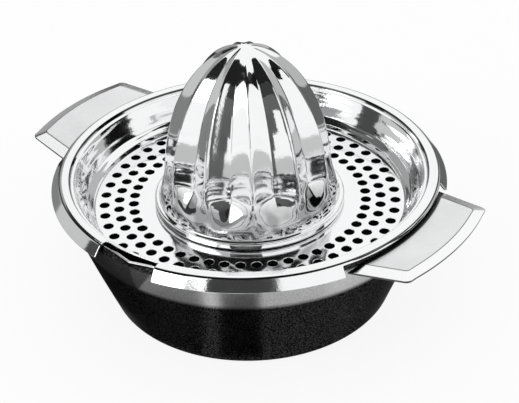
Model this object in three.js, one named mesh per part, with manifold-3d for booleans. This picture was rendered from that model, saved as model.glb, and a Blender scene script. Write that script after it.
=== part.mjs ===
import * as THREE from "three";
import { mergeVertices } from "three/addons/utils/BufferGeometryUtils.js";
import Module from "manifold-3d";

const wasm = await Module();
wasm.setup();

// Hand citrus juicer: a steel bowl with a pouring lip and two handles, and a perforated strainer
// dish with a fluted reamer cone that lies on the bowl's rim and lifts off.
// Millimetres. The origin is the centre of the bowl's flat base, +Z is up, the handles lie along X
// and the pouring lip points along -Y.

// Overall sizes
const RIM_HEIGHT = 53.4;
const RIM_RADIUS = 75;
const SHEET = 0.8;
const SEAT_GAP = 0.3;

// Bowl, with heights measured down from the rim
const BOWL_RIM_DROP = SHEET + SEAT_GAP;
const BOWL_RIM_RADIUS = 73.6;
const COLLAR_RADIUS = 74.9;
const COLLAR_TOP_DROP = 4;
const CREASE_RADIUS = 70.1;
const CREASE_DROP = 17.2;
const WALL_FOOT_RADIUS = 58.2;
const WALL_FOOT_DROP = 50;
const BASE_CORNER = 3.2;
const COLLAR_BULGE = 0.5;
const WALL_BULGE = 0.2;
const BOWL_SHEET = 0.9;

// Pouring lip: a V pressed out of the wall, with a narrow flat on the left of its tip. Places along
// the rim and how far they reach.
const LIP_LEFT = [-11.6, 72.2];
const LIP_FLAT = [-4.5, 74.2];
const LIP_TIP = [2.2, 75.7];
const LIP_RIGHT = [13.6, 72.4];
const LIP_FOOT_REACH = 69.6;
const LIP_FOOT_DROP = 18;
const LIP_ROOT_REACH = 60;

// Handles
const HANDLE_DROP = 2.6;
const HANDLE_TILT = Math.tan(THREE.MathUtils.degToRad(6.3));
const BEVEL_DROP = 1.5;
const HANDLE_SHEET = 0.9;
const CREASE_END_RADIUS = 90.6;
const CREASE_HALF_WIDTH_END = 23.7;
const CREASE_HALF_WIDTH_ROOT = 28.5;
const EDGE_END_RADIUS = 94.8;
const EDGE_HALF_WIDTH_END = 28.2;
const EDGE_HALF_WIDTH_ROOT = 33.8;
const HANDLE_ROOT_REACH = 60;
const HANDLE_CORNER = 3.2;
const HANDLE_CORNER_LEAN = 2.2;
const HANDLE_ARC_SHARE = 0.84;
const HANDLE_EDGE_SHEET = 0.5;
const WELD_TAB_DEPTH = 8;
const WELD_TAB_HALF_ANGLE = THREE.MathUtils.degToRad(13);

// Strainer dish, with heights measured down from the rim
const FLOOR_DROP = 14.9;
const FLOOR_RADIUS = 62;
const STEP_TOP_RADIUS = 62.3;
const STEP_TOP_DROP = 12.8;
const LEDGE_RADIUS = 64.7;
const LEDGE_DROP = 10.6;
const MOUTH_RADIUS = 70.6;
const MOUTH_FILLET = 2.2;
const FLANGE_RADIUS = 74.8;
const FLANGE_FILLET = 1.2;
const SKIRT_RADIUS = 78.2;
const SKIRT_DROP = 4.4;
const DISH_OPENING_RADIUS = 33;
const LIP_CUT_RADIUS = 72.0;
const LIP_CUT_HALF_ANGLE = THREE.MathUtils.degToRad(9.8);
const CUT_MARGIN = 4;
const HANDLE_CUT_HALF_ANGLE = THREE.MathUtils.degToRad(27);
const HANDLE_CUT_DROP = 2.1;
const HOLE_RADIUS = 2.0;
const HOLES_PER_ROW = 48;
const HOLE_ROW_RADII = [46.5, 52.4, 58.2];
const HOLE_SIDES = 8;
const FIRST_HOLE_ANGLE = THREE.MathUtils.degToRad(2.2);

// Reamer cone
const APEX_RISE = 53;
const FLUTES = 11;
const RIDGE_ANGLE = THREE.MathUtils.degToRad(-50.4);
const RIDGE_FOOT_RADIUS = 34;
const RIDGE_FOOT_DROP = 12;
const DOME_HEIGHT_POWER = 2.24;
const DOME_RADIUS_POWER = 1.83;
const FLARE_TOP_DROP = 3;
const FLARE_FOOT_DROP = 11.6;
const FLARE_SLOPE = 0.32;
const FLARE_BLEND = 1.5;
const FLUTE_DEPTH = 0.15;
const VALLEY_CREASE = 0.22;
const SCOOP_CENTRE_RISE = 2.5;
const SCOOP_LENGTH = 6.5;
const SCOOP_INNER_SHIFT = 0.8;
const BEAD_RADIUS = 37.9;
const BEAD_HEIGHT = 3;
const BEAD_FILLET = 0.8;
const CONE_SHEET = 0.9;
const CONE_OUTER_RISES = [-7.5, -5, -4, -2.5, -0.5, 3, 12, 22, 32, 41, 47, 51];
const CONE_INNER_RISES = [-7.5, -4.6, -3, -0.8, 3, 17, 33, 46];

// Facets
const BOWL_SEGMENTS = 60;
const DISH_SEGMENTS = 60;
const SEGMENTS_PER_FLUTE = 6;
const FILLET_STEPS = 2;
const HANDLE_ARC_STEPS = 8;
const WELD_TOLERANCE = 1e-4;

const above = (drop) => RIM_HEIGHT - drop;
const point = (x, y) => new THREE.Vector2(x, y);

// A closed mesh with shared vertices becomes a solid. Triangles that shrink to a line are left out.
function solid(geometry) {
  const bare = geometry.index ? geometry.clone() : geometry;
  bare.deleteAttribute("normal");
  bare.deleteAttribute("uv");
  const merged = mergeVertices(bare, WELD_TOLERANCE);
  const triangles = [];
  for (let i = 0; i < merged.index.count; i += 3) {
    const corners = [0, 1, 2].map((k) => merged.index.getX(i + k));
    if (new Set(corners).size === 3) triangles.push(...corners);
  }
  return new wasm.Manifold(new wasm.Mesh({
    numProp: 3,
    vertProperties: new Float32Array(merged.attributes.position.array),
    triVerts: new Uint32Array(triangles),
  }));
}

function geometryOf(manifold) {
  const mesh = manifold.getMesh();
  const geometry = new THREE.BufferGeometry();
  geometry.setAttribute("position", new THREE.BufferAttribute(mesh.vertProperties, 3));
  geometry.setIndex(new THREE.BufferAttribute(mesh.triVerts, 1));
  const shaded = geometry.toNonIndexed();
  shaded.computeVertexNormals();
  return shaded;
}

// Corners are [x, y, radius]: a corner with a radius is rounded by an arc that touches both sides.
function rounded(corners) {
  const points = [];
  corners.forEach(([x, y, radius = 0], i) => {
    const corner = point(x, y);
    if (radius === 0 || i === 0 || i === corners.length - 1) {
      points.push(corner);
      return;
    }
    const before = point(...corners[i - 1]).sub(corner).normalize();
    const after = point(...corners[i + 1]).sub(corner).normalize();
    const halfAngle = Math.acos(THREE.MathUtils.clamp(before.dot(after), -1, 1)) / 2;
    const inward = before.clone().add(after).normalize();
    const centre = inward.multiplyScalar(radius / Math.sin(halfAngle)).add(corner);
    const touch = radius / Math.tan(halfAngle);
    const from = before.multiplyScalar(touch).add(corner).sub(centre);
    const to = after.multiplyScalar(touch).add(corner).sub(centre);
    const sweep = Math.atan2(from.cross(to), from.dot(to));
    for (let k = 0; k <= FILLET_STEPS; k++) {
      points.push(from.clone().rotateAround(point(0, 0), (sweep * k) / FILLET_STEPS).add(centre));
    }
  });
  return points;
}

// The same line moved sideways by a distance, to its right as it is walked
function offset(line, distance) {
  return line.map((p, i) => {
    const into = p.clone().sub(line[Math.max(i - 1, 0)]).normalize();
    const out = line[Math.min(i + 1, line.length - 1)].clone().sub(p).normalize();
    const along = into.clone().add(out).normalize();
    const stretch = 1 / Math.max(along.dot(into.lengthSq() ? into : out), 0.5);
    return point(p.x + along.y * distance * stretch, p.y - along.x * distance * stretch);
  });
}

// A line bowed sideways by a part of a sine wave
function bowed(from, to, bulge, steps) {
  const side = to.clone().sub(from).normalize();
  return Array.from({ length: steps + 1 }, (_, k) => {
    const t = k / steps;
    const swell = bulge * Math.sin(Math.PI * t);
    return from.clone().lerp(to, t).add(point(side.y * swell, -side.x * swell));
  });
}

// Turns a closed outline of radius and height about Z, with its first facet edge on +X. The outer
// side has to run upwards.
function revolve(outline, segments) {
  const loop = THREE.ShapeUtils.isClockWise(outline) ? [...outline].reverse() : outline;
  const onAxis = loop[0].x === 0 && loop.at(-1).x === 0;
  const profile = onAxis ? loop : [...loop, loop[0]];
  return new THREE.LatheGeometry(profile, segments).rotateX(Math.PI / 2).rotateZ(Math.PI / 2);
}

// A stack of outlines with the same number of points, each at its own height, closed by flat ends.
// An outline may shrink to a point.
function loft(rings) {
  const count = rings[0].outline.length;
  const positions = rings.flatMap(({ outline, z }) => outline.flatMap((p) => [p.x, p.y, z]));
  const faces = [];
  for (let ring = 0; ring < rings.length - 1; ring++) {
    for (let i = 0; i < count; i++) {
      const a = ring * count + i;
      const b = ring * count + ((i + 1) % count);
      faces.push(a, b, b + count, a, b + count, a + count);
    }
  }
  const top = (rings.length - 1) * count;
  for (const [a, b, c] of THREE.ShapeUtils.triangulateShape(rings.at(-1).outline, [])) {
    faces.push(top + a, top + b, top + c);
  }
  for (const [a, b, c] of THREE.ShapeUtils.triangulateShape(rings[0].outline, [])) {
    faces.push(c, b, a);
  }
  const geometry = new THREE.BufferGeometry();
  geometry.setAttribute("position", new THREE.Float32BufferAttribute(positions, 3));
  geometry.setIndex(faces);
  return geometry;
}

// An upright block over part of a ring, between two radii, two angles and two heights
function ringBlock(innerRadius, outerRadius, middleAngle, halfAngle, bottom, top) {
  const shape = new THREE.Shape();
  shape.absarc(0, 0, outerRadius, middleAngle - halfAngle, middleAngle + halfAngle, false);
  shape.absarc(0, 0, innerRadius, middleAngle + halfAngle, middleAngle - halfAngle, true);
  const settings = { depth: top - bottom, bevelEnabled: false, curveSegments: 8 };
  return new THREE.ExtrudeGeometry(shape, settings).translate(0, 0, bottom);
}

// Outer line of the bowl's section, from the middle of the base up to the rim
function bowlLine() {
  const foot = point(WALL_FOOT_RADIUS, above(WALL_FOOT_DROP));
  const crease = point(CREASE_RADIUS, above(CREASE_DROP));
  const collar = point(COLLAR_RADIUS, above(COLLAR_TOP_DROP));
  const slope = (crease.x - foot.x) / (crease.y - foot.y);
  const heel = foot.x - slope * foot.y;
  const base = rounded([[0, 0], [heel, 0, BASE_CORNER], [foot.x, foot.y]]).slice(0, -1);
  const wall = bowed(foot, crease, WALL_BULGE, 2);
  const neck = bowed(crease, collar, COLLAR_BULGE, 2).slice(1);
  return [...base, ...wall, ...neck, point(BOWL_RIM_RADIUS, above(BOWL_RIM_DROP))];
}

// The space that the bowl fills with its mouth closed, grown or shrunk by an even distance
function bowlBody(grow) {
  const line = offset(bowlLine(), grow);
  line[0].x = 0;
  const rise = grow < 0 ? 1 : 0;
  const mouth = line.at(-1);
  mouth.y += rise;
  return solid(revolve([...line, point(0, mouth.y)], BOWL_SEGMENTS));
}

// The V that the lip adds to that space. Its inside is moved back by the thickness of the sheet and
// rises past the rim, so that the lip is open at the top.
function lipBody(setBack, rise) {
  const edge = [LIP_LEFT, LIP_FLAT, LIP_TIP, LIP_RIGHT].map(([x, reach]) => point(x, setBack - reach));
  const outline = [...edge, point(0, -LIP_ROOT_REACH)];
  const foot = outline.map(() => point(0, setBack - LIP_FOOT_REACH));
  const rimHeight = above(BOWL_RIM_DROP);
  return solid(loft([
    { outline: foot, z: above(LIP_FOOT_DROP) },
    { outline, z: rimHeight },
    { outline, z: rimHeight + rise },
  ]));
}

function bowl() {
  const outside = bowlBody(0).add(lipBody(0, 0));
  const inside = bowlBody(-BOWL_SHEET).add(lipBody(BOWL_SHEET, 1));
  return outside.subtract(inside);
}

function handleOutline(endRadius, halfWidthEnd, halfWidthRoot) {
  const reach = Math.sqrt(endRadius ** 2 - halfWidthEnd ** 2);
  const arcEnd = Math.asin(halfWidthEnd / endRadius) * HANDLE_ARC_SHARE;
  const side = rounded([
    [HANDLE_ROOT_REACH, -halfWidthRoot],
    [reach, -halfWidthEnd, HANDLE_CORNER],
    [endRadius, -halfWidthEnd + (endRadius - reach) * HANDLE_CORNER_LEAN],
  ]).slice(0, -1);
  const arc = [];
  for (let k = 0; k <= HANDLE_ARC_STEPS; k++) {
    const angle = arcEnd * ((2 * k) / HANDLE_ARC_STEPS - 1);
    arc.push(point(endRadius * Math.cos(angle), endRadius * Math.sin(angle)));
  }
  const otherSide = side.map((p) => point(p.x, -p.y)).reverse();
  return [...side, ...arc, ...otherSide];
}

// The plate leans up towards its end. A tab under its root is welded to the bowl.
function handle() {
  const crease = handleOutline(CREASE_END_RADIUS, CREASE_HALF_WIDTH_END, CREASE_HALF_WIDTH_ROOT);
  const edge = handleOutline(EDGE_END_RADIUS, EDGE_HALF_WIDTH_END, EDGE_HALF_WIDTH_ROOT);
  const innerEdge = handleOutline(
    EDGE_END_RADIUS - HANDLE_EDGE_SHEET,
    EDGE_HALF_WIDTH_END - HANDLE_EDGE_SHEET,
    EDGE_HALF_WIDTH_ROOT - HANDLE_EDGE_SHEET,
  );
  const plateTop = above(HANDLE_DROP);
  const edgeTop = plateTop - BEVEL_DROP;
  const skin = loft([
    { outline: edge, z: edgeTop - HANDLE_SHEET },
    { outline: edge, z: edgeTop },
    { outline: crease, z: plateTop },
  ]);
  const hollow = loft([
    { outline: innerEdge, z: edgeTop - 2 * HANDLE_SHEET },
    { outline: innerEdge, z: edgeTop - HANDLE_SHEET },
    { outline: crease, z: plateTop - HANDLE_SHEET },
  ]);
  const tilt = new THREE.Matrix4().makeShear(0, HANDLE_TILT, 0, 0, 0, 0);
  tilt.premultiply(new THREE.Matrix4().makeTranslation(0, 0, -HANDLE_TILT * RIM_RADIUS));
  const plate = solid(skin.applyMatrix4(tilt)).subtract(solid(hollow.applyMatrix4(tilt)));
  const tabTop = plateTop - HANDLE_SHEET / 2;
  const tabFoot = tabTop - WELD_TAB_DEPTH;
  const tabZone = ringBlock(HANDLE_ROOT_REACH, EDGE_END_RADIUS, 0, WELD_TAB_HALF_ANGLE, tabFoot, tabTop);
  const tab = solid(tabZone).intersect(bowlBody(SEAT_GAP + HANDLE_SHEET));
  return plate.add(tab).subtract(bowlBody(SEAT_GAP));
}

// Upper line of the dish's section, from its central opening out over the rim and down the skirt
function dishLine() {
  return rounded([
    [DISH_OPENING_RADIUS, above(FLOOR_DROP)],
    [FLOOR_RADIUS, above(FLOOR_DROP)],
    [STEP_TOP_RADIUS, above(STEP_TOP_DROP)],
    [LEDGE_RADIUS, above(LEDGE_DROP)],
    [MOUTH_RADIUS, above(0), MOUTH_FILLET],
    [FLANGE_RADIUS, above(0), FLANGE_FILLET],
    [SKIRT_RADIUS, above(SKIRT_DROP)],
  ]);
}

function strainerDish() {
  const line = dishLine();
  const sheet = revolve([...line, ...offset(line, SHEET).reverse()], DISH_SEGMENTS);
  let dish = solid(sheet);

  const low = above(SKIRT_DROP) - CUT_MARGIN;
  const high = above(0) + CUT_MARGIN;
  const outer = SKIRT_RADIUS + CUT_MARGIN;
  const lipSide = -Math.PI / 2;
  const cuts = [ringBlock(LIP_CUT_RADIUS, outer, lipSide, LIP_CUT_HALF_ANGLE, low, high)];
  for (const side of [0, Math.PI]) {
    const cutTop = above(HANDLE_CUT_DROP);
    cuts.push(ringBlock(LIP_CUT_RADIUS, outer, side, HANDLE_CUT_HALF_ANGLE, low, cutTop));
  }
  for (const cut of cuts) {
    dish = dish.subtract(solid(cut));
  }

  const pitch = (2 * Math.PI) / HOLES_PER_ROW;
  HOLE_ROW_RADII.forEach((rowRadius, row) => {
    const stagger = row % 2 === 1 ? pitch / 2 : 0;
    let punches = null;
    for (let k = 0; k < HOLES_PER_ROW; k++) {
      const angle = FIRST_HOLE_ANGLE + stagger + k * pitch;
      const punch = new THREE.CylinderGeometry(HOLE_RADIUS, HOLE_RADIUS, 4 * SHEET, HOLE_SIDES)
        .rotateX(Math.PI / 2)
        .translate(rowRadius, 0, above(FLOOR_DROP))
        .rotateZ(angle);
      punches = punches ? punches.add(solid(punch)) : solid(punch);
    }
    dish = dish.subtract(punches);
  });
  return dish;
}

// Radius of the ridges at a height above the rim. Below the flutes the cone flares out to its bead.
function ridgeRadius(rise) {
  const height = APEX_RISE + RIDGE_FOOT_DROP;
  const t = THREE.MathUtils.clamp((rise + RIDGE_FOOT_DROP) / height, 0, 1);
  const dome = RIDGE_FOOT_RADIUS * (1 - t ** DOME_HEIGHT_POWER) ** (1 / DOME_RADIUS_POWER);
  const below = -rise - FLARE_TOP_DROP;
  return dome + (FLARE_SLOPE * (below + Math.hypot(below, FLARE_BLEND))) / 2;
}

// How far a flute is scooped in from the ridges, at a height above the rim and a place across the
// flute that runs from 0 in its middle to 1 on its ridges. The flute is a hollow with a soft crease
// along its middle. Below the scoop's centre it runs out in a round end over the flare.
function scoop(rise, across, radius) {
  const runOut = Math.max(SCOOP_CENTRE_RISE - rise, 0) / SCOOP_LENGTH;
  const section = VALLEY_CREASE * across + (1 - VALLEY_CREASE) * across ** 2;
  const share = Math.max(1 - section - runOut ** 2, 0);
  return FLUTE_DEPTH * radius * share;
}

// Section of the cone from its foot up to the apex, at the ridges or one sheet inside them. The inner
// one starts below the foot.
function coneLine(inset) {
  const beadBottom = above(FLOOR_DROP - SEAT_GAP);
  const bead = rounded([
    [BEAD_RADIUS - inset, beadBottom - inset],
    [BEAD_RADIUS - inset, beadBottom + BEAD_HEIGHT - inset, BEAD_FILLET],
    [ridgeRadius(-FLARE_FOOT_DROP) - inset, above(FLARE_FOOT_DROP) - inset / 2],
  ]);
  const rises = inset === 0 ? CONE_OUTER_RISES : CONE_INNER_RISES;
  const dome = rises.map((rise) => {
    const sink = (inset * Math.max(rise, 0)) / APEX_RISE;
    return point(ridgeRadius(rise) - inset, above(-rise) - sink);
  });
  return [...bead, ...dome, point(0, above(-APEX_RISE) - inset)];
}

// The space that the cone fills, or its hollow one sheet inside. The hollow's flutes reach down a
// little further, which keeps the sheet even round their ends.
function coneBody(inset) {
  const line = coneLine(inset);
  const body = revolve([point(0, line[0].y), ...line], FLUTES * SEGMENTS_PER_FLUTE);
  const positions = body.attributes.position;
  const pitch = (2 * Math.PI) / FLUTES;
  for (let i = 0; i < positions.count; i++) {
    const [x, y, z] = [positions.getX(i), positions.getY(i), positions.getZ(i)];
    const radius = Math.hypot(x, y);
    if (radius < WELD_TOLERANCE) continue;
    const angle = Math.atan2(y, x);
    const step = Math.round((angle / pitch) * SEGMENTS_PER_FLUTE);
    const place = THREE.MathUtils.euclideanModulo(step, SEGMENTS_PER_FLUTE) / SEGMENTS_PER_FLUTE;
    const across = Math.abs(2 * place - 1);
    const rise = z - RIM_HEIGHT + SCOOP_INNER_SHIFT * inset;
    const scale = 1 - scoop(rise, across, radius) / radius;
    positions.setXY(i, x * scale, y * scale);
  }
  return solid(body.rotateZ(RIDGE_ANGLE % pitch));
}

function reamerCone() {
  return coneBody(0).subtract(coneBody(CONE_SHEET));
}

const polishedSteel = { color: 0xdfe1e2, roughness: 0.1, metalness: 1 };
const satinSteel = { color: 0xc9cbcc, roughness: 0.38, metalness: 1 };
const darkSatinSteel = { color: 0x2b2c2e, roughness: 0.45, metalness: 0.8 };

function piece(name, manifold, finish) {
  const mesh = new THREE.Mesh(geometryOf(manifold), new THREE.MeshStandardMaterial(finish));
  mesh.name = name;
  return mesh;
}

const base = new THREE.Group();
base.add(piece("bowl", bowl(), darkSatinSteel));
const handleSolid = handle();
const handleRight = piece("handle_right", handleSolid, satinSteel);
const handleLeft = piece("handle_left", handleSolid, satinSteel);
handleLeft.rotation.z = Math.PI;
base.add(handleRight, handleLeft);

const strainer = new THREE.Group();
strainer.add(piece("strainer_dish", strainerDish(), polishedSteel));
strainer.add(piece("reamer_cone", reamerCone(), polishedSteel));

const juicer = new THREE.Group();
juicer.add(base, strainer);

export default juicer;
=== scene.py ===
import math

import bpy
from mathutils import Matrix, Vector


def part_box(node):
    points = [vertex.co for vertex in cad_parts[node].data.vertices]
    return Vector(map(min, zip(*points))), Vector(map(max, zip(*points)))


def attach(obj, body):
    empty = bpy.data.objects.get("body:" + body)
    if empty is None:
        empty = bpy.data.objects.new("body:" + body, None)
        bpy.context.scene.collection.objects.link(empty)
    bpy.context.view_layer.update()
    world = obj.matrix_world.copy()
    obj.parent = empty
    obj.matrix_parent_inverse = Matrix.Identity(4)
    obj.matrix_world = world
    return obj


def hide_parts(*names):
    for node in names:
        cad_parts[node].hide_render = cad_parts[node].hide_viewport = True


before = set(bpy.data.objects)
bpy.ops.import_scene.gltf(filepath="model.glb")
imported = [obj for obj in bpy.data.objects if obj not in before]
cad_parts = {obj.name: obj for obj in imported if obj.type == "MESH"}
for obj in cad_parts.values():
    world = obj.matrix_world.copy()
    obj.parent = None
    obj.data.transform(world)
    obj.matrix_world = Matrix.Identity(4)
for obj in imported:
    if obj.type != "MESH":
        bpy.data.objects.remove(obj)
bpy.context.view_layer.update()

# A hand citrus juicer in polished and satin steel: bowl with pouring lip, two handles, and a
# perforated strainer dish with a fluted reamer cone. Metres, in the frame of the CAD model.
MM = 0.001

RIM_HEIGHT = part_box("strainer_dish")[1].z
APEX_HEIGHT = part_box("reamer_cone")[1].z
HANDLE_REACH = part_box("handle_right")[1].x
RIM_RADIUS = 75 * MM
SHEET = 0.8 * MM
BOWL_SHEET = 0.9 * MM
HANDLE_SHEET = 0.9 * MM
CONE_SHEET = 0.9 * MM
SEAT_GAP = 0.3 * MM


# Camera, solved from the rim, the rows of holes and the base in the photograph

CAMERA_AZIMUTH = math.radians(-52.3)
CAMERA_ELEVATION = math.radians(31.86)
CAMERA_DISTANCE = 562.1 * MM
CAMERA_YAW = math.radians(0.46)
CAMERA_PITCH = math.radians(33.32)
CAMERA_ROLL = math.radians(-1.85)
FOCAL_LENGTH_PIXELS = 1420
FRAME_WIDTH_PIXELS = 519
SENSOR_WIDTH = 36
CLIP_START = 10 * MM


def add_camera():
    level = Vector((math.cos(CAMERA_AZIMUTH), math.sin(CAMERA_AZIMUTH), 0))
    place = level * math.cos(CAMERA_ELEVATION) + Vector((0, 0, math.sin(CAMERA_ELEVATION)))
    place = place * CAMERA_DISTANCE + Vector((0, 0, RIM_HEIGHT))
    heading = CAMERA_AZIMUTH + math.pi - CAMERA_YAW
    forward = Vector((math.cos(heading), math.sin(heading), 0)) * math.cos(CAMERA_PITCH)
    forward -= Vector((0, 0, math.sin(CAMERA_PITCH)))
    right = forward.cross(Vector((0, 0, 1))).normalized()
    up = right.cross(forward)
    rolled_right = right * math.cos(CAMERA_ROLL) + up * math.sin(CAMERA_ROLL)
    rolled_up = up * math.cos(CAMERA_ROLL) - right * math.sin(CAMERA_ROLL)
    turn = Matrix((rolled_right, rolled_up, -forward)).transposed().to_4x4()
    data = bpy.data.cameras.new("camera")
    data.sensor_fit = "HORIZONTAL"
    data.sensor_width = SENSOR_WIDTH
    data.lens = FOCAL_LENGTH_PIXELS / FRAME_WIDTH_PIXELS * SENSOR_WIDTH
    data.clip_start = CLIP_START
    camera = bpy.data.objects.new("camera", data)
    camera.matrix_world = Matrix.Translation(place) @ turn
    bpy.context.scene.collection.objects.link(camera)
    bpy.context.scene.camera = camera


# Small geometry helpers


def smoothstep(value):
    value = min(max(value, 0.0), 1.0)
    return value * value * (3 - 2 * value)


def soft_max(a, b, radius):
    return 0.5 * (a + b + math.sqrt((a - b) ** 2 + radius * radius))


def soft_min(a, b, radius):
    return 0.5 * (a + b - math.sqrt((a - b) ** 2 + radius * radius))


def soft_distance(value, radius):
    return math.sqrt(value * value + radius * radius) - radius


def rounded(corners, steps=8):
    """Corners are (x, y, radius). Each corner with a radius becomes an arc that touches both sides."""
    points = []
    for i, (x, y, radius) in enumerate(corners):
        corner = Vector((x, y))
        if radius == 0 or i in (0, len(corners) - 1):
            points.append(corner)
            continue
        before = (Vector(corners[i - 1][:2]) - corner).normalized()
        after = (Vector(corners[i + 1][:2]) - corner).normalized()
        half = math.acos(max(-1.0, min(1.0, before.dot(after)))) / 2
        centre = corner + (before + after).normalized() * radius / math.sin(half)
        start = corner + before * radius / math.tan(half) - centre
        end = corner + after * radius / math.tan(half) - centre
        sweep = math.atan2(start.x * end.y - start.y * end.x, start.dot(end))
        for k in range(steps + 1):
            a = sweep * k / steps
            turned = Vector((start.x * math.cos(a) - start.y * math.sin(a),
                             start.x * math.sin(a) + start.y * math.cos(a)))
            points.append(centre + turned)
    return points


class Path:
    """A line of points that is read by its length, for sections with straight and round stretches."""

    def __init__(self, points):
        self.points = points
        self.marks = [0.0]
        for a, b in zip(points, points[1:]):
            self.marks.append(self.marks[-1] + (b - a).length)
        self.length = self.marks[-1]

    def at(self, distance):
        distance = min(max(distance, 0.0), self.length)
        for i in range(len(self.points) - 1):
            if distance <= self.marks[i + 1]:
                span = self.marks[i + 1] - self.marks[i]
                return self.points[i].lerp(self.points[i + 1], (distance - self.marks[i]) / span)
        return self.points[-1]


def grid_faces(rows, columns, closed=True):
    """Faces of a grid of points that are listed row by row. A closed grid joins its last column to
    its first."""
    faces = []
    for i in range(rows - 1):
        for j in range(columns if closed else columns - 1):
            a = i * columns + j
            b = i * columns + (j + 1) % columns
            faces.append((a, b, b + columns, a + columns))
    return faces


def polar(radius, angle, height):
    return (radius * math.cos(angle), radius * math.sin(angle), height)


def add_piece(name, points, faces, material, body, nodes):
    """Adds a mesh of those points that its faces use, with its material, ties it to its body, and hides
    the CAD nodes that it stands in for.
    """
    used = sorted({corner for face in faces for corner in face})
    place = {corner: i for i, corner in enumerate(used)}
    mesh = bpy.data.meshes.new(name)
    mesh.from_pydata([tuple(points[corner]) for corner in used], [],
                     [tuple(place[corner] for corner in face) for face in faces])
    mesh.materials.append(material)
    mesh.polygons.foreach_set("use_smooth", [True] * len(mesh.polygons))
    mesh.update()
    piece = bpy.data.objects.new(name, mesh)
    bpy.context.scene.collection.objects.link(piece)
    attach(piece, body)
    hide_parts(*nodes)
    return piece


EDGE_SEGMENTS = 3
EDGE_ANGLE = math.radians(50)
NORMAL_WEIGHT = 60


def thicken(piece, thickness, edge_radius):
    """Gives a surface its sheet thickness on its inner side, and rounds the sheet's edges."""
    solidify = piece.modifiers.new("sheet", "SOLIDIFY")
    solidify.thickness = thickness
    solidify.offset = -1
    solidify.use_even_offset = True
    bevel = piece.modifiers.new("edges", "BEVEL")
    bevel.width = edge_radius
    bevel.segments = EDGE_SEGMENTS
    bevel.limit_method = "ANGLE"
    bevel.angle_limit = EDGE_ANGLE
    bevel.use_clamp_overlap = False
    normals = piece.modifiers.new("normals", "WEIGHTED_NORMAL")
    normals.keep_sharp = True
    normals.weight = NORMAL_WEIGHT


# Materials. Noise scales are per metre, and colours are linear.

NOISE_ROUGHNESS = 0.55
NOISE_MIDDLE = 0.5
# The part of a noise's range in which nearly all of its values lie
NOISE_CORE = (0.35, 0.7)
# Scale that leaves out the height
FLAT = (1, 1, 0)


def grey(level):
    return (level, level, level, 1)


class Nodes:
    """A material's node tree, with short calls that add a node and link it."""

    # The mix node's two inputs and its result, by place, because its sockets share their names
    MIX_SOCKETS = {"FLOAT": (2, 3, 0), "RGBA": (6, 7, 2)}

    def __init__(self, name):
        self.material = bpy.data.materials.new(name)
        self.material.use_nodes = True
        self.tree = self.material.node_tree
        self.tree.nodes.clear()
        self.output = self.tree.nodes.new("ShaderNodeOutputMaterial")

    def add(self, kind, **values):
        node = self.tree.nodes.new(kind)
        for key, value in values.items():
            if key in node.inputs:
                self.feed(node.inputs[key], value)
            else:
                setattr(node, key, value)
        return node

    def feed(self, socket, value):
        if isinstance(value, bpy.types.NodeSocket):
            self.tree.links.new(value, socket)
        else:
            socket.default_value = value

    def object_place(self, scale=(1, 1, 1)):
        coordinates = self.add("ShaderNodeTexCoord")
        mapping = self.add("ShaderNodeMapping", Vector=coordinates.outputs["Object"])
        mapping.inputs["Scale"].default_value = scale
        return mapping.outputs["Vector"]

    def radius(self):
        """Distance from the juicer's upright axis."""
        flat = self.object_place(FLAT)
        return self.add("ShaderNodeVectorMath", operation="LENGTH", Vector=flat).outputs["Value"]

    def noise(self, place, scale, detail):
        node = self.add("ShaderNodeTexNoise", Vector=place, Scale=scale, Detail=detail,
                        Roughness=NOISE_ROUGHNESS)
        return node.outputs["Fac"]

    def spread(self, value, low, high, source_low=0.0, source_high=1.0):
        """Stretches the source's range to the one from low to high, and stops at its ends."""
        node = self.add("ShaderNodeMapRange", Value=value)
        node.inputs["From Min"].default_value = source_low
        node.inputs["From Max"].default_value = source_high
        node.inputs["To Min"].default_value = low
        node.inputs["To Max"].default_value = high
        return node.outputs["Result"]

    def math(self, operation, a, b=0.0):
        node = self.add("ShaderNodeMath", operation=operation)
        self.feed(node.inputs[0], a)
        self.feed(node.inputs[1], b)
        return node.outputs[0]

    def bump(self, height, strength, distance, normal=None):
        node = self.add("ShaderNodeBump", Height=height, Strength=strength, Distance=distance)
        if normal is not None:
            self.feed(node.inputs["Normal"], normal)
        return node.outputs["Normal"]

    def mix(self, factor, first, second, data_type="RGBA", blend_type="MIX"):
        node = self.add("ShaderNodeMix", data_type=data_type, blend_type=blend_type)
        first_place, second_place, result_place = self.MIX_SOCKETS[data_type]
        self.feed(node.inputs[0], factor)
        self.feed(node.inputs[first_place], first)
        self.feed(node.inputs[second_place], second)
        return node.outputs[result_place]

    def metal(self, tint, roughness, surface):
        """Ends the tree in a metal, and returns its shader node."""
        shader = self.add("ShaderNodeBsdfPrincipled", Metallic=1.0, Roughness=roughness, Normal=surface)
        self.feed(shader.inputs["Base Color"], tint)
        self.finish(shader.outputs["BSDF"])
        return shader

    def finish(self, shader):
        self.tree.links.new(shader, self.output.inputs["Surface"])
        return self.material


# Inner and outer end of the waves, and how far they take to fade in and out
WALL_WAVES = (63.0 * MM, 70.2 * MM)
WAVE_FADE = 1.0 * MM
WAVE_HEIGHT = 0.6 * MM
# Scales of the waves round the dish, on a circle of radius 1, and outwards
WAVES_ROUND = 2.4
WAVES_OUTWARD = 480.0
# Radii of the rim's two folds, where a dark line of painted reflection is drawn, with its half width and
# colour
FOLD_LINES = (70.8 * MM, 74.75 * MM)
FOLD_SHADE_HALF = 0.32 * MM
FOLD_SHADE_COLOUR = grey(0.06)


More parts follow.
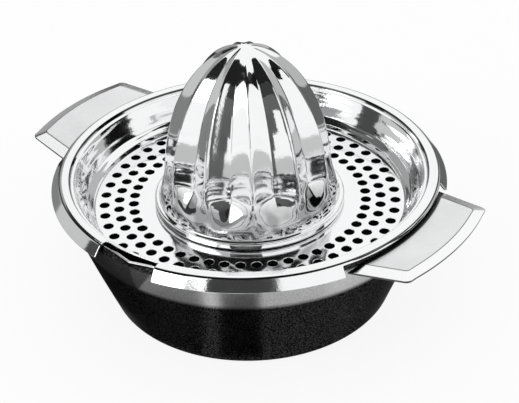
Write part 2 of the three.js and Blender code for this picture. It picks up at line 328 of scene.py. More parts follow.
def turned_wall_and_fold_shade(nodes, tint, surface):
    """Adds the waves that turning leaves round the dish's wall, and a dark line of painted reflection
    along both folds of its rim. Returns the new tint and surface."""
    flat = nodes.object_place(FLAT)
    aim = nodes.add("ShaderNodeVectorMath", operation="NORMALIZE", Vector=flat).outputs["Vector"]
    split = nodes.add("ShaderNodeSeparateXYZ", Vector=aim)
    radius = nodes.radius()
    around = nodes.add("ShaderNodeCombineXYZ",
                       X=nodes.math("MULTIPLY", split.outputs["X"], WAVES_ROUND),
                       Y=nodes.math("MULTIPLY", split.outputs["Y"], WAVES_ROUND),
                       Z=nodes.math("MULTIPLY", radius, WAVES_OUTWARD))
    noise = nodes.noise(around.outputs["Vector"], 1.0, detail=1.0)
    waves = nodes.math("SUBTRACT", noise, NOISE_MIDDLE)
    start, end = WALL_WAVES
    inner = nodes.spread(radius, 0.0, 1.0, start, start + WAVE_FADE)
    outer = nodes.spread(radius, 1.0, 0.0, end - WAVE_FADE, end)
    waves = nodes.math("MULTIPLY", waves, nodes.math("MULTIPLY", inner, outer))
    surface = nodes.bump(waves, 1.0, WAVE_HEIGHT, surface)
    # Painted dark reflection: a dark line along each fold of the rim
    distances = [nodes.math("ABSOLUTE", nodes.math("SUBTRACT", radius, line)) for line in FOLD_LINES]
    nearest = nodes.math("MINIMUM", *distances)
    line = nodes.spread(nearest, 1.0, 0.0, FOLD_SHADE_HALF / 2, FOLD_SHADE_HALF)
    return nodes.mix(line, tint, FOLD_SHADE_COLOUR), surface


# Where the foot's swirls and its painted dark reflection end at the top and are full, and where that
# painted shade starts above the bead
FOOT_SWIRLS_TOP = RIM_HEIGHT + 2.0 * MM
FOOT_SWIRLS_FULL = RIM_HEIGHT - 2.0 * MM
FOOT_SHADE_LOW = RIM_HEIGHT - 10.6 * MM
FOOT_SHADE_FULL = FOOT_SHADE_LOW + 2 * MM
FOOT_SHADE_GREY = grey(0.4)
SWIRLS = 200.0
SWIRL_HEIGHT = 0.35 * MM
# The painted shade's share falls from the first value to the second over this range of the swirls' noise
SHADE_SHARES = (1.0, 0.6)
SWIRL_CORE = (0.4, 0.6)


def foot_swirls_and_painted_shade(nodes, tint, surface):
    """Adds the shallow swirls that buffing leaves round the ends of the cone's flutes, and a mottled
    darker grey there that is painted dark reflection. Returns the new tint and surface."""
    place = nodes.object_place()
    height = nodes.add("ShaderNodeSeparateXYZ", Vector=place).outputs["Z"]
    low = nodes.spread(height, 1.0, 0.0, FOOT_SWIRLS_FULL, FOOT_SWIRLS_TOP)
    above_bead = nodes.spread(height, 0.0, 1.0, FOOT_SHADE_LOW, FOOT_SHADE_FULL)
    swirls = nodes.noise(place, SWIRLS, detail=0.0)
    mottled_shade = nodes.spread(swirls, *SHADE_SHARES, *SWIRL_CORE)
    share = nodes.math("MULTIPLY", nodes.math("MULTIPLY", low, above_bead), mottled_shade)
    waves = nodes.math("MULTIPLY", nodes.math("SUBTRACT", swirls, NOISE_MIDDLE), low)
    surface = nodes.bump(waves, 1.0, SWIRL_HEIGHT, surface)
    return nodes.mix(share, tint, FOOT_SHADE_GREY, blend_type="MULTIPLY"), surface


POLISH_TINTS = ((0.88, 0.885, 0.89, 1), (0.95, 0.955, 0.96, 1))
DISH_ROUGHNESS = (0.06, 0.12)
CONE_ROUGHNESS = (0.04, 0.09)
SMUDGES = 45.0
SCRATCHES = 900.0
SCRATCH_STRENGTH = 0.03
SCRATCH_HEIGHT = 0.4 * MM


def polished_steel(name, roughness, finish_and_painted_shade):
    """Mirror polish with fine scratches and smudges, and a finish of its own on part of the piece, with
    painted dark reflection.
    """
    nodes = Nodes(name)
    place = nodes.object_place()
    smudges = nodes.noise(place, SMUDGES, detail=3.0)
    scratches = nodes.noise(place, SCRATCHES, detail=2.0)
    tint = nodes.mix(smudges, *POLISH_TINTS)
    surface = nodes.bump(scratches, SCRATCH_STRENGTH, SCRATCH_HEIGHT)
    tint, surface = finish_and_painted_shade(nodes, tint, surface)
    nodes.metal(tint, nodes.spread(smudges, *roughness, *NOISE_CORE), surface)
    return nodes.material


BRUSHING = 2600.0
BRUSHING_STRETCH = (0.06, 1, 1)
BRUSHING_STRENGTH = 0.12
BRUSHING_HEIGHT = 0.2 * MM
PLATE_PATCHES = 60.0
PLATE_TINTS = ((0.80, 0.81, 0.815, 1), (0.93, 0.93, 0.935, 1))
PLATE_ROUGHNESS = (0.34, 0.44)
BEVEL_HIGHLIGHT_TINTS = ((0.92, 0.925, 0.93, 1), (0.97, 0.97, 0.97, 1))
BEVEL_ROUGHNESS = (0.16, 0.22)
# Depths below the plate's plane: where the bevel's smoother finish and painted highlight start and
# are full, and the painted shade line along the crease, with half its width where it is full and
# where it ends
BEVEL_DEPTHS = (0.05 * MM, 0.12 * MM)
CREASE_DEPTH = 0.08 * MM
CREASE_SHADE_HALF_WIDTHS = (0.03 * MM, 0.06 * MM)
CREASE_SHADE_COLOUR = grey(0.25)
# The shade at the plate's root ends at this radius
ROOT_SHADE = 77.2 * MM
ROOT_FADE = 0.4 * MM
LOWER_EDGE_FADE = 0.1 * MM
SHADE_COLOUR = grey(0.1)


def satin_steel(name):
    """Light brushed plate, with the brushing along the handles, and a smoother bevel whose brighter tint
    is a painted highlight. The bevel starts where the surface falls below the plane of the leaning
    plate. The crease, the root and the bevel's lower edge are darkened with painted shade."""
    nodes = Nodes(name)
    place = nodes.object_place()
    brushing = nodes.noise(nodes.object_place(BRUSHING_STRETCH), BRUSHING, detail=3.0)
    patches = nodes.noise(place, PLATE_PATCHES, detail=3.0)
    split = nodes.add("ShaderNodeSeparateXYZ", Vector=place)
    past_rim = nodes.math("SUBTRACT", nodes.math("ABSOLUTE", split.outputs["X"]), RIM_RADIUS)
    plane = nodes.math("ADD", nodes.math("MULTIPLY", past_rim, HANDLE_TILT), HANDLE_TOP)
    below = nodes.math("SUBTRACT", plane, split.outputs["Z"])
    bevel = nodes.spread(below, 0.0, 1.0, *BEVEL_DEPTHS)
    # The bevel's brighter tint is a painted highlight
    tint = nodes.mix(bevel, nodes.mix(brushing, *PLATE_TINTS), nodes.mix(patches, *BEVEL_HIGHLIGHT_TINTS))
    # Painted shade: a dark line along the crease between plate and bevel
    off_crease = nodes.math("ABSOLUTE", nodes.math("SUBTRACT", below, CREASE_DEPTH))
    tint = nodes.mix(nodes.spread(off_crease, 1.0, 0.0, *CREASE_SHADE_HALF_WIDTHS), tint, CREASE_SHADE_COLOUR)
    # Painted shade at the plate's root and along the bevel's lower edge
    root = nodes.spread(nodes.radius(), 1.0, 0.0, ROOT_SHADE - ROOT_FADE, ROOT_SHADE)
    lower_edge_shade = nodes.spread(below, 0.0, 1.0, BEVEL_DROP - LOWER_EDGE_FADE, BEVEL_DROP)
    tint = nodes.mix(nodes.math("MAXIMUM", root, lower_edge_shade), tint, SHADE_COLOUR)
    plate_rough = nodes.spread(patches, *PLATE_ROUGHNESS, *NOISE_CORE)
    bevel_rough = nodes.spread(patches, *BEVEL_ROUGHNESS, *NOISE_CORE)
    rough = nodes.mix(bevel, plate_rough, bevel_rough, data_type="FLOAT")
    nodes.metal(tint, rough, nodes.bump(brushing, BRUSHING_STRENGTH, BRUSHING_HEIGHT))
    return nodes.material


# The collar's painted reflection starts at the first height and is full at the second
COLLAR_LOW = RIM_HEIGHT - 18.2 * MM
COLLAR_HIGH = RIM_HEIGHT - 15.4 * MM
NECK_FADE = 0.3 * MM
# Places across the lip at its rim: its tip, its right end, and where the shade left of it ends
LIP_TIP = 2.2 * MM
LIP_RIGHT = 13.0 * MM
LIP_SHADE_END = -38.0 * MM
LIP_SHADE_START = LIP_SHADE_END - 12 * MM
TIP_FADE = 0.4 * MM
LIP_RIGHT_FADE = 0.6 * MM
# What is left of the collar's painted reflection on the facets in painted shade and on the facet right of
# the tip
LIP_SHADE = 0.12
RIGHT_FACET_SHADE = 0.3


def painted_collar_light(nodes, split):
    """How much painted reflection lightens the bowl at a place: 1 on the collar under the rim, and less,
    as painted shade, on and beside the lip, whose edges lean as they rise from the lip's foot."""
    height = split.outputs["Z"]
    across = split.outputs["X"]
    collar = nodes.spread(height, 0.0, 1.0, COLLAR_LOW, COLLAR_HIGH)
    rise = nodes.spread(height, 0.0, 1.0, LIP_FOOT, BOWL_RIM)
    past_tip = nodes.math("SUBTRACT", across, nodes.math("MULTIPLY", rise, LIP_TIP))
    past_lip = nodes.math("SUBTRACT", across, nodes.math("MULTIPLY", rise, LIP_RIGHT))
    right_facet = nodes.spread(past_tip, LIP_SHADE, RIGHT_FACET_SHADE, -TIP_FADE, TIP_FADE)
    right_collar = nodes.spread(past_lip, LIP_SHADE, 1.0, -LIP_RIGHT_FADE, LIP_RIGHT_FADE)
    left_collar = nodes.spread(across, 1.0, LIP_SHADE, LIP_SHADE_START, LIP_SHADE_END)
    beside_lip = nodes.math("MAXIMUM", left_collar, nodes.math("MAXIMUM", right_facet, right_collar))
    behind = nodes.math("GREATER_THAN", split.outputs["Y"], 0.0)
    collar = nodes.math("MULTIPLY", collar, nodes.math("MAXIMUM", beside_lip, behind))
    neck = nodes.spread(height, 1.0, 0.0, COLLAR_TOP.y - NECK_FADE, COLLAR_TOP.y + NECK_FADE)
    return nodes.math("MULTIPLY", collar, neck)


GRAIN = 1900.0
TURNING = 2500.0
TURNING_STRETCH = (0.02, 0.02, 1)
GRAIN_STRENGTH = 0.1
GRAIN_HEIGHT = 0.3 * MM
BOWL_PATCHES = 40.0
BOWL_ROUGHNESS = (0.34, 0.42)
# The wall's near-black tints are painted dark reflection, and the collar's lighter tints painted
# reflection
WALL_DARK_REFLECTION_TINTS = (grey(0.002), grey(0.1))
WALL_GRAIN = (0.42, 0.7)
COLLAR_REFLECTION_TINTS = ((0.50, 0.50, 0.505, 1), (0.80, 0.80, 0.805, 1))
COLLAR_GRAIN = (0.3, 0.7)
# Painted highlight along the sheet edge at the rim: how far below the rim it starts and is full
RIM_HIGHLIGHT_COLOUR = (0.9, 0.9, 0.905, 1)
RIM_HIGHLIGHT_START = 0.3 * MM
RIM_HIGHLIGHT_FULL = 0.1 * MM
SHEEN_STRETCH = 0.8
SHEEN_TURN = 0.25
SHEEN_COLOUR = grey(0.3)


def painted_dark_steel(name):
    """Satin wall with a fine grain, tinted near black as painted dark reflection, and a collar under the
    rim lightened by painted reflection. Both are turned, so the sheen stretches up and down."""
    nodes = Nodes(name)
    place = nodes.object_place()
    grain = nodes.noise(place, GRAIN, detail=2.0)
    turning = nodes.noise(nodes.object_place(TURNING_STRETCH), TURNING, detail=3.0)
    patches = nodes.noise(place, BOWL_PATCHES, detail=3.0)
    split = nodes.add("ShaderNodeSeparateXYZ", Vector=place)
    dark = nodes.mix(nodes.spread(grain, 0.0, 1.0, *WALL_GRAIN), *WALL_DARK_REFLECTION_TINTS)
    light = nodes.mix(nodes.spread(grain, 0.0, 1.0, *COLLAR_GRAIN), *COLLAR_REFLECTION_TINTS)
    tint = nodes.mix(painted_collar_light(nodes, split), dark, light)
    # Painted highlight along the top of the rim
    edge = nodes.spread(split.outputs["Z"], 0.0, 1.0, BOWL_RIM - RIM_HIGHLIGHT_START, BOWL_RIM - RIM_HIGHLIGHT_FULL)
    tint = nodes.mix(edge, tint, RIM_HIGHLIGHT_COLOUR)
    surface = nodes.bump(nodes.math("ADD", grain, turning), GRAIN_STRENGTH, GRAIN_HEIGHT)
    shader = nodes.metal(tint, nodes.spread(patches, *BOWL_ROUGHNESS, *NOISE_CORE), surface)
    around = nodes.add("ShaderNodeTangent", direction_type="RADIAL", axis="Z")
    nodes.feed(shader.inputs["Tangent"], around.outputs[0])
    shader.inputs["Anisotropic"].default_value = SHEEN_STRETCH
    shader.inputs["Anisotropic Rotation"].default_value = SHEEN_TURN
    shader.inputs["Specular Tint"].default_value = SHEEN_COLOUR
    return nodes.material


# Strainer dish

FLOOR = RIM_HEIGHT - 14.9 * MM
DISH_OPENING = 33.0 * MM
# Outer radius of the ring of long faces round the opening
FLOOR_RING = 38.5 * MM
HOLE_RADIUS = 2.0 * MM
HOLE_ROWS = (46.5 * MM, 52.4 * MM, 58.2 * MM)
# Radii of the rings between which each row's cells lie
HOLE_BANDS = (43.4 * MM, 49.45 * MM, 55.3 * MM, 61.1 * MM)
HOLES_PER_ROW = 48
FIRST_HOLE = math.radians(2.2)
# Columns of the surface to each hole, and steps along the sides between two holes
ARC_STEPS = 8
SIDE_STEPS = 8
DISH_COLUMNS = HOLES_PER_ROW * ARC_STEPS
LIP_CUT_RADIUS = 72.0 * MM
LIP_CUT_ANGLE = math.radians(9.8)
SPOUT_ANGLE = -math.pi / 2
HANDLE_CUT_ANGLE = math.radians(27)
# The back end of each handle's cut-out is closer to the handle by twice this angle
HANDLE_CUT_SHIFT = math.radians(0.8)
HANDLE_CUT_HALF = HANDLE_CUT_ANGLE - HANDLE_CUT_SHIFT
HANDLE_CUT_HEIGHT = RIM_HEIGHT - 1.05 * MM
# What each cut-out clears, the angle of its middle, and half its width
CUTS = (
    ("handle", -HANDLE_CUT_SHIFT, HANDLE_CUT_HALF),
    ("handle", math.pi + HANDLE_CUT_SHIFT, HANDLE_CUT_HALF),
    ("lip", SPOUT_ANGLE, LIP_CUT_ANGLE),
)
FLANGE_START = 71.3 * MM
FLANGE_TOLERANCE = 0.05 * MM
OUTER_STEP = 0.4 * MM
# The columns of the rim that are drawn in to the end of a cut-out, as offsets along the rim
CUT_OFFSETS = (-1.2 * MM, -0.5 * MM, 0.0, 0.5 * MM, 1.2 * MM)
CUT_CORNER = 0.5 * MM
DISH_EDGE_RADIUS = 0.18 * MM
# Corners of the dish's section from the opening out to the skirt: radius, height and rounding
DISH_SECTION = [
    (DISH_OPENING, FLOOR, 0),
    (62.0 * MM, FLOOR, 0.5 * MM),
    (62.3 * MM, RIM_HEIGHT - 12.8 * MM, 0.5 * MM),
    (64.7 * MM, RIM_HEIGHT - 10.6 * MM, 0.8 * MM),
    (69.2 * MM, RIM_HEIGHT - 1.7 * MM, 0.3 * MM),
    (70.3 * MM, RIM_HEIGHT - 1.4 * MM, 0.3 * MM),
    (71.0 * MM, RIM_HEIGHT, 0.4 * MM),
    (74.8 * MM, RIM_HEIGHT, 1.7 * MM),
    (78.2 * MM, RIM_HEIGHT - 4.4 * MM, 0),
]


def rim_columns():
    """The even angles of the columns, those angles drawn in at the ends of the cut-outs, and the
    first and last column of each cut-out."""
    step = 2 * math.pi / DISH_COLUMNS
    even = [FIRST_HOLE - math.pi / HOLES_PER_ROW + j * step for j in range(DISH_COLUMNS)]
    drawn = list(even)
    cuts = []
    for kind, middle, half in CUTS:
        ends = []
        for angle in (middle - half, middle + half):
            column = round((angle - even[0]) / step)
            for k, offset in enumerate(CUT_OFFSETS):
                j = (column + k - len(CUT_OFFSETS) // 2) % DISH_COLUMNS
                place = angle + offset / RIM_RADIUS
                turns = round((even[j] - place) / (2 * math.pi))
                drawn[j] = place + turns * 2 * math.pi
            ends.append(column)
        cuts.append((kind, *ends))
    return even, drawn, cuts


def cut_cells(cuts, first_rows, rows):
    """For each row of the rim's grid, the columns that are cut away: 'all' of a cell, or the
    corner that a small fillet takes."""
    cells = {row: {} for row in range(rows)}
    for kind, first, last in cuts:
        top = first_rows[kind]
        for row in range(top, rows):
            for column in range(first, last):
                cells[row][column % DISH_COLUMNS] = "all"
        for column, corner in ((first, 2), (last - 1, 1)):
            cells[top][column % DISH_COLUMNS] = corner
        for column, corner in ((first - 1, 2), (last, 1)):
            cells[rows - 1][column % DISH_COLUMNS] = corner
    return cells


def rim_marks(section):
    """Places along the section from the flange to the skirt's end, with one where each kind of
    cut-out starts, and the rows at which they start."""
    flange_mark = next(m for m, p in zip(section.marks, section.points)
                       if p.x > FLANGE_START and p.y > RIM_HEIGHT - FLANGE_TOLERANCE)
    lip_mark = flange_mark + LIP_CUT_RADIUS - section.at(flange_mark).x
    skirt = (section.points[-1] - section.points[-2]).normalized()
    handle_mark = section.length - (section.points[-1].y - HANDLE_CUT_HEIGHT) / skirt.y
    stops = [flange_mark, lip_mark, lip_mark + CUT_CORNER, handle_mark, handle_mark + CUT_CORNER]
    stops += [section.length - CUT_CORNER, section.length]
    marks = []
    for start, end in zip(stops, stops[1:]):
        steps = math.ceil((end - start) / OUTER_STEP)
        marks += [start + (end - start) * k / steps for k in range(steps)]
    marks.append(section.length)
    return marks, {"lip": marks.index(lip_mark), "handle": marks.index(handle_mark)}


class DishSurface:
    """The dish's points and faces, made ring by ring from its opening outwards."""

    def __init__(self, angles):
        self.angles = angles
        self.points = []
        self.faces = []

    def add_ring(self, radius, height, angles=None):
        """Adds a ring of points and returns the number of its first one."""
        first = len(self.points)
        self.points.extend(polar(radius, a, height) for a in angles or self.angles)
        return first

    def join_rings(self, inner, outer, cuts=None):
        """Joins two rings with a row of cells, without the cells and corners that cuts names."""
        cuts = cuts or {}
        for j in range(DISH_COLUMNS):
            k = (j + 1) % DISH_COLUMNS
            corners = [inner + j, outer + j, outer + k, inner + k]
            cut = cuts.get(j)
            if cut == "all":
                continue
            if cut is not None:
                corners.pop(cut)
            self.faces.append(tuple(corners))

    def add_hole_row(self, row, inner, outer):
        """Fills the band between two rings with cells that have a round hole each. The cells of
        every second row are shifted by half a cell."""
        shift = 0 if row % 2 == 0 else ARC_STEPS // 2
        low, high = HOLE_BANDS[row], HOLE_BANDS[row + 1]
        sides = []
        for k in range(HOLES_PER_ROW):
            angle = self.angles[(k * ARC_STEPS + shift) % DISH_COLUMNS]
            start = len(self.points)
            for m in range(1, SIDE_STEPS):
                self.points.append(polar(low + (high - low) * m / SIDE_STEPS, angle, FLOOR))
            sides.append([start + m for m in range(SIDE_STEPS - 1)])
        for k in range(HOLES_PER_ROW):
            first = k * ARC_STEPS + shift
            arc = [(first + m) % DISH_COLUMNS for m in range(ARC_STEPS + 1)]
            border = [inner + j for j in arc] + sides[(k + 1) % HOLES_PER_ROW]
            border += [outer + j for j in reversed(arc)] + sides[k][::-1]
            middle = self.angles[arc[ARC_STEPS // 2]]
            self.add_hole(border, Vector(polar(HOLE_ROWS[row], middle, FLOOR)))

    def add_hole(self, border, centre):
        """Joins a cell's border to a round hole, with a face for each side of the border."""
        hole = len(self.points)
        for vertex in border:
            towards = (Vector(self.points[vertex]) - centre).normalized()
            self.points.append(tuple(centre + towards * HOLE_RADIUS))
        count = len(border)
        for m in range(count):
            n = (m + 1) % count
            self.faces.append((border[n], border[m], hole + m, hole + n))


def add_strainer_dish(material):
    section = Path(rounded(DISH_SECTION))
    angles, drawn, cuts = rim_columns()
    surface = DishSurface(angles)
    opening = surface.add_ring(DISH_OPENING, FLOOR)
    inner = surface.add_ring(FLOOR_RING, FLOOR)
    bands = [surface.add_ring(radius, FLOOR) for radius in HOLE_BANDS]
    surface.join_rings(opening, inner)
    surface.join_rings(inner, bands[0])
    for row in range(len(HOLE_ROWS)):
        surface.add_hole_row(row, bands[row], bands[row + 1])

    # up the wall, where the columns move to their places at the rim
    marks, first_rows = rim_marks(section)
    previous = bands[-1]
    for mark, p in zip(section.marks, section.points):
        if p.x > HOLE_BANDS[-1] and mark < marks[0]:
            share = smoothstep((p.y - FLOOR) / (RIM_HEIGHT - FLOOR))
            moved = [a + (d - a) * share for a, d in zip(angles, drawn)]
            ring = surface.add_ring(p.x, p.y, moved)
            surface.join_rings(previous, ring)
            previous = ring

    # over the flange and down the skirt, without the cut-outs
    cells = cut_cells(cuts, first_rows, len(marks) - 1)
    for row, mark in enumerate(marks):
        p = section.at(mark)
        ring = surface.add_ring(p.x, p.y, drawn)
        surface.join_rings(previous, ring, cells.get(row - 1))
        previous = ring
    piece = add_piece("strainer_dish_polished", surface.points, surface.faces, material, "strainer",
                      ["strainer_dish"])
    thicken(piece, SHEET, DISH_EDGE_RADIUS)


# Reamer cone

FLUTES = 11
RIDGE_ANGLE = math.radians(-50.4)
STEPS_PER_FLUTE = 28
FOOT_RADIUS = 34.0 * MM
FOOT_HEIGHT = RIM_HEIGHT - 12.0 * MM
# Over a ridge the dome's outline is a superellipse, with these powers for height and radius
DOME_HEIGHT_POWER = 2.24
DOME_RADIUS_POWER = 1.83
FLARE_TOP = RIM_HEIGHT - 3.0 * MM
FLARE_FOOT = RIM_HEIGHT - 11.6 * MM
FLARE_SLOPE = 0.21
FLARE_BLEND = 1.5 * MM
FLARE_LEAD = 2.0 * MM
FLUTE_DEPTH = 0.14
VALLEY_CREASE = 0.3
CAP_RADIUS = 4.0 * MM
SCOOP_TOP = RIM_HEIGHT + 3.0 * MM
SCOOP_FOOT = RIM_HEIGHT - 7.5 * MM
# How far the ridges and the creases are rounded, as shares of a flute, above and at their ends
RIDGE_SOFTNESS = 0.04
TOE_SOFTNESS = 0.6
CREASE_SOFTNESS = 0.03
END_SOFTNESS = 0.25
BEAD_RADIUS = 37.9 * MM
BEAD_HEIGHT = 3.0 * MM
BEAD_INSET = 1.3 * MM
BEAD_LIFT = 0.2 * MM
CONE_ROWS = 130
# The rows of points get closer towards the apex by this power
CONE_ROW_POWER = 1.7
CONE_EDGE_RADIUS = 0.2 * MM


def ridge_radius(height):
    t = min(max((height - FOOT_HEIGHT) / (APEX_HEIGHT - FOOT_HEIGHT), 0.0), 1.0)
    dome = FOOT_RADIUS * (1 - t ** DOME_HEIGHT_POWER) ** (1 / DOME_RADIUS_POWER)
    return dome + FLARE_SLOPE * soft_max(FLARE_TOP - height, 0.0, FLARE_BLEND)


def cone_section():
    """The cone's outline over a ridge, from under its beaded foot to just below the apex."""
    bead_bottom = FLOOR + SEAT_GAP
    flare_start = FLARE_FOOT + FLARE_LEAD
    # radius, height and rounding of each corner
    section = rounded([
        (BEAD_RADIUS - BEAD_INSET, bead_bottom, 0),
        (BEAD_RADIUS, bead_bottom + BEAD_LIFT, 0.9 * MM),
        (BEAD_RADIUS, bead_bottom + BEAD_HEIGHT, 0.8 * MM),
        (ridge_radius(FLARE_FOOT), FLARE_FOOT, 0.5 * MM),
        (ridge_radius(flare_start), flare_start, 0),
    ])
    low = section[-1].y
    for i in range(1, CONE_ROWS):
        t = i / CONE_ROWS
        height = low + (APEX_HEIGHT - low) * (1 - (1 - t) ** CONE_ROW_POWER)
        section.append(Vector((ridge_radius(height), height)))
    return section


def scoop_depth(height, across, radius):
    """Depth of a flute below the ridges; across runs from 0 in its middle to 1 on its ridges. The
    ridges and the crease along the middle are slightly rounded, and the flutes fade at the apex."""
    run_out = smoothstep((SCOOP_TOP - height) / (SCOOP_TOP - SCOOP_FOOT))
    across = 1 - soft_distance(1 - across, RIDGE_SOFTNESS + (TOE_SOFTNESS - RIDGE_SOFTNESS) * run_out)
    crease = soft_distance(across, CREASE_SOFTNESS + (END_SOFTNESS - CREASE_SOFTNESS) * run_out)
    section = 1 - VALLEY_CREASE * crease - (1 - VALLEY_CREASE) * across ** 2
    share = section * (1 - run_out)
    fade = smoothstep(radius / CAP_RADIUS)
    return FLUTE_DEPTH * radius * fade * share


def add_reamer_cone(material):
    columns = FLUTES * STEPS_PER_FLUTE
    pitch = 2 * math.pi / FLUTES
    section = cone_section()
    points = []
    for p in section:
        for j in range(columns):
            angle = RIDGE_ANGLE + pitch * j / STEPS_PER_FLUTE
            across = abs(2 * (j % STEPS_PER_FLUTE) / STEPS_PER_FLUTE - 1)
            depth = scoop_depth(p.y, across, p.x) if p.y > FLARE_FOOT else 0.0
            points.append(polar(p.x - depth, angle, p.y))
    faces = grid_faces(len(section), columns)
    top = len(points)
    points.append((0, 0, APEX_HEIGHT))
    last = top - columns
    faces.extend((last + j, last + (j + 1) % columns, top) for j in range(columns))
    piece = add_piece("reamer_cone_polished", points, faces, material, "strainer",
                      ["reamer_cone"])
    thicken(piece, CONE_SHEET, CONE_EDGE_RADIUS)


# Bowl

BOWL_RIM = RIM_HEIGHT - SHEET - SEAT_GAP
BOWL_RIM_RADIUS = 73.6 * MM
BASE_HUB_RADIUS = 0.5 * MM
BASE_CORNER = 3.2 * MM
WALL_FOOT = Vector((58.2 * MM, RIM_HEIGHT - 50 * MM))
WALL_CREASE = Vector((70.1 * MM, RIM_HEIGHT - 17.2 * MM))
COLLAR_TOP = Vector((74.9 * MM, RIM_HEIGHT - 4 * MM))
WALL_BULGE = 0.2 * MM
COLLAR_BULGE = 0.5 * MM
# Rows of points up the wall, the collar and the neck, and how late the neck draws in to the rim
WALL_ROWS = 36
COLLAR_ROWS = 34
NECK_ROWS = 8
NECK_POWER = 1.5
# Places of the lip's corners along the rim, and how far they reach
LIP_CORNERS = [
    (-11.6 * MM, 72.2 * MM),
    (-4.5 * MM, 74.2 * MM),
    (2.2 * MM, 75.7 * MM),
    (13.6 * MM, 72.4 * MM),
]
LIP_FOOT_REACH = 69.6 * MM
LIP_FOOT = RIM_HEIGHT - 18 * MM
LIP_BLEND_FOOT = LIP_FOOT - 4 * MM
LIP_FACET_BLEND = 0.2 * MM
LIP_WALL_BLEND = 0.3 * MM
# Half the angle of the bowl that holds the lip, and the steps round the bowl there and elsewhere
LIP_NEAR_ANGLE = math.radians(14)
LIP_STEP = math.radians(0.25)
BOWL_STEP = math.radians(2.0)
BOWL_EDGE_RADIUS = 0.25 * MM


def bowl_section():
    slope = (WALL_CREASE.x - WALL_FOOT.x) / (WALL_CREASE.y - WALL_FOOT.y)
    heel = WALL_FOOT.x - slope * WALL_FOOT.y
    base = rounded([(BASE_HUB_RADIUS, 0, 0), (heel, 0, BASE_CORNER), (*WALL_FOOT, 0)])[:-1]
    wall = []
    for start, end, bulge, rows in ((WALL_FOOT, WALL_CREASE, WALL_BULGE, WALL_ROWS),
                                    (WALL_CREASE, COLLAR_TOP, COLLAR_BULGE, COLLAR_ROWS)):
        side = (end - start).normalized()
        for k in range(rows):
            t = k / rows
            swell = bulge * math.sin(math.pi * t)
            wall.append(start.lerp(end, t) + Vector((side.y, -side.x)) * swell)
    rim = Vector((BOWL_RIM_RADIUS, BOWL_RIM))
    neck = [Vector((COLLAR_TOP.x + (rim.x - COLLAR_TOP.x) * (k / NECK_ROWS) ** NECK_POWER,
                    COLLAR_TOP.y + (rim.y - COLLAR_TOP.y) * k / NECK_ROWS))
            for k in range(NECK_ROWS + 1)]
    return base + wall + neck


def lip_planes():
    """The lip's facets as planes, each by its normal and the lip's foot, where all of them meet."""
    foot = Vector((0, -LIP_FOOT_REACH, LIP_FOOT))
    edge = [Vector((x, -reach, BOWL_RIM)) for x, reach in LIP_CORNERS]
    return [((b - a).cross(foot - a).normalized(), foot) for a, b in zip(edge, edge[1:])]


def lip_reach(planes, angle, height):
    """Radius of the lip's surface at an angle and a height."""
    reach = None
    for normal, point in planes:
        level = normal.x * math.cos(angle) + normal.y * math.sin(angle)
        distance = (normal.dot(point) - normal.z * height) / level
        reach = distance if reach is None else soft_min(reach, distance, LIP_FACET_BLEND)
    return reach


def bowl_angles():
    """Angles of the columns round the bowl, which are close together over the lip."""
    lip_start = SPOUT_ANGLE - LIP_NEAR_ANGLE
    angles = [lip_start + LIP_STEP * k for k in range(round(2 * LIP_NEAR_ANGLE / LIP_STEP))]
    rest = 2 * math.pi - 2 * LIP_NEAR_ANGLE
    count = round(rest / BOWL_STEP)
    return angles + [SPOUT_ANGLE + LIP_NEAR_ANGLE + rest * k / count for k in range(count)]


def add_bowl(material):
    planes = lip_planes()
    angles = bowl_angles()
    section = bowl_section()
    points = []
    for p in section:
        for angle in angles:
            radius = p.x
            if abs(angle - SPOUT_ANGLE) < LIP_NEAR_ANGLE and p.y > LIP_BLEND_FOOT:
                radius = soft_max(radius, lip_reach(planes, angle, p.y), LIP_WALL_BLEND)
            points.append(polar(radius, angle, p.y))
    faces = grid_faces(len(section), len(angles))
    middle = len(points)
    points.append((0, 0, 0))
    count = len(angles)
    faces.extend(((j + 1) % count, j, middle) for j in range(count))
    piece = add_piece("bowl_painted_dark", points, faces, material, "base", ["bowl"])
    thicken(piece, BOWL_SHEET, BOWL_EDGE_RADIUS)


# Handles

HANDLE_TOP = RIM_HEIGHT - 2.6 * MM
HANDLE_TILT = math.tan(math.radians(6.3))
BEVEL_DROP = 1.5 * MM
HANDLE_ROOT = 60 * MM
WALL_CLEARANCE = 75.1 * MM
HANDLE_ARC_SHARE = 0.84
HANDLE_CORNER_LEAN = 2.2
# Radius of the end, half widths at the end and at the root, and radius of the corners
CREASE_LINE = (90.6 * MM, 23.7 * MM, 28.5 * MM, 2.0 * MM)
EDGE_LINE = (HANDLE_REACH, 28.2 * MM, 33.8 * MM, 3.2 * MM)
CREASE_RADIUS = 0.5 * MM
HANDLE_EDGE_RADIUS = 0.2 * MM
HANDLE_SIDE_STEPS = 10
HANDLE_ARC_STEPS = 24
HANDLE_WALL_STEPS = 24
# The rounded crease between plate and bevel: places and drops of its points, as multiples of its
# half width, and the places of the points on the flat bevel, whose lower edge is at 1
CREASE_BEND = ((-3.0, 0.0), (-1.0, 0.0), (-0.5, 0.06), (0.0, 0.25), (0.5, 0.56), (1.0, 1.0))
BEVEL_PLACES = (0.3, 0.5, 0.7, 0.88, 1.0)
TAB_DEPTH = 8.0 * MM
TAB_ANGLE = math.radians(13)
TAB_CORNER = 1.5 * MM
TAB_TOP = HANDLE_TOP - 1.2 * HANDLE_SHEET
TAB_FOOT = HANDLE_TOP - HANDLE_SHEET / 2 - TAB_DEPTH
TAB_CLEARANCE = 0.05 * MM
TAB_ROWS = 16
TAB_COLUMNS = 32


